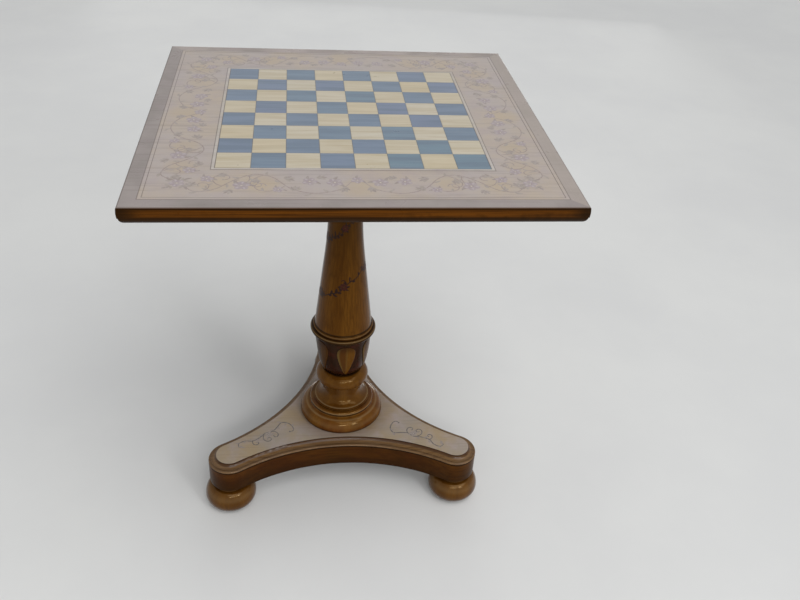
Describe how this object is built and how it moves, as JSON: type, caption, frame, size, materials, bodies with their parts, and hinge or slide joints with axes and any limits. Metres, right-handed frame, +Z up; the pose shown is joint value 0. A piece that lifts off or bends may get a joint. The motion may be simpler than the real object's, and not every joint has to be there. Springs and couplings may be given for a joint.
{
  "type": "pedestal chess table",
  "caption": "Square tilting games table with an inlaid chessboard and painted border, on a turned column, a three-sided plinth and bun feet.",
  "frame": {"origin": "on the floor at the axis of the column, which is the centre of the square top", "axes": "+Z up; -Y is the front, where two of the three feet stand and towards which the tilted board faces; +X to the right seen from the front"},
  "size_m": [0.635, 0.635, 0.76],
  "materials": {
    "light_inlay": "satin varnish",
    "dark_inlay": "satin varnish",
    "stringing": "satin varnish",
    "painted_border": "painted ornament under satin varnish",
    "edge_wood": "stained and varnished, dark at the arrises",
    "golden_wood": "glossy varnish with a dark glaze in the hollows",
    "dark_cup": "dark paint with golden petals, glossy varnish",
    "painted_plinth": "painted scrolls under satin varnish",
    "underside_wood": "stained, matt",
    "brass": "lightly tarnished",
    "steel": "zinc plated"
  },
  "bodies": {
    "pedestal": {"tilt_block": "underside_wood", "pivot_pins": "brass", "keeper_plate": "brass", "keeper_screws": "brass", "column_shaft": "golden_wood", "petal_cup": "dark_cup", "column_bulb": "golden_wood", "column_base": "golden_wood", "plinth_top": "painted_plinth", "plinth_body": "golden_wood", "bun_foot_left": "golden_wood", "bun_foot_right": "golden_wood", "bun_foot_back": "golden_wood", "foot_bolts": "steel", "tie_rod": "steel", "rod_nuts": "steel", "rod_washers": "steel"},
    "top": {"top_core": "underside_wood", "light_squares": "light_inlay", "dark_squares": "dark_inlay", "board_stringing": "stringing", "outer_stringing": "stringing", "border_panel_front": "painted_border", "border_panel_right": "painted_border", "border_panel_back": "painted_border", "border_panel_left": "painted_border", "edge_moulding_front": "edge_wood", "edge_moulding_right": "edge_wood", "edge_moulding_back": "edge_wood", "edge_moulding_left": "edge_wood", "bearer_left": "underside_wood", "bearer_right": "underside_wood", "bearer_screws": "steel", "catch_plate": "brass", "catch_screws": "brass"},
    "bolt": {"catch_bolt": "brass"}
  },
  "joints": [
    {"name": "top_tilt", "type": "hinge", "parent": "pedestal", "child": "top", "pos_m": [0, -0.06, 0.724], "axis": [1, 0, 0], "range_deg": [0, 90]},
    {"name": "catch_slide", "type": "slide", "parent": "top", "child": "bolt", "axis": [0, -1, 0], "range_m": [0, 0.012]}
  ]
}
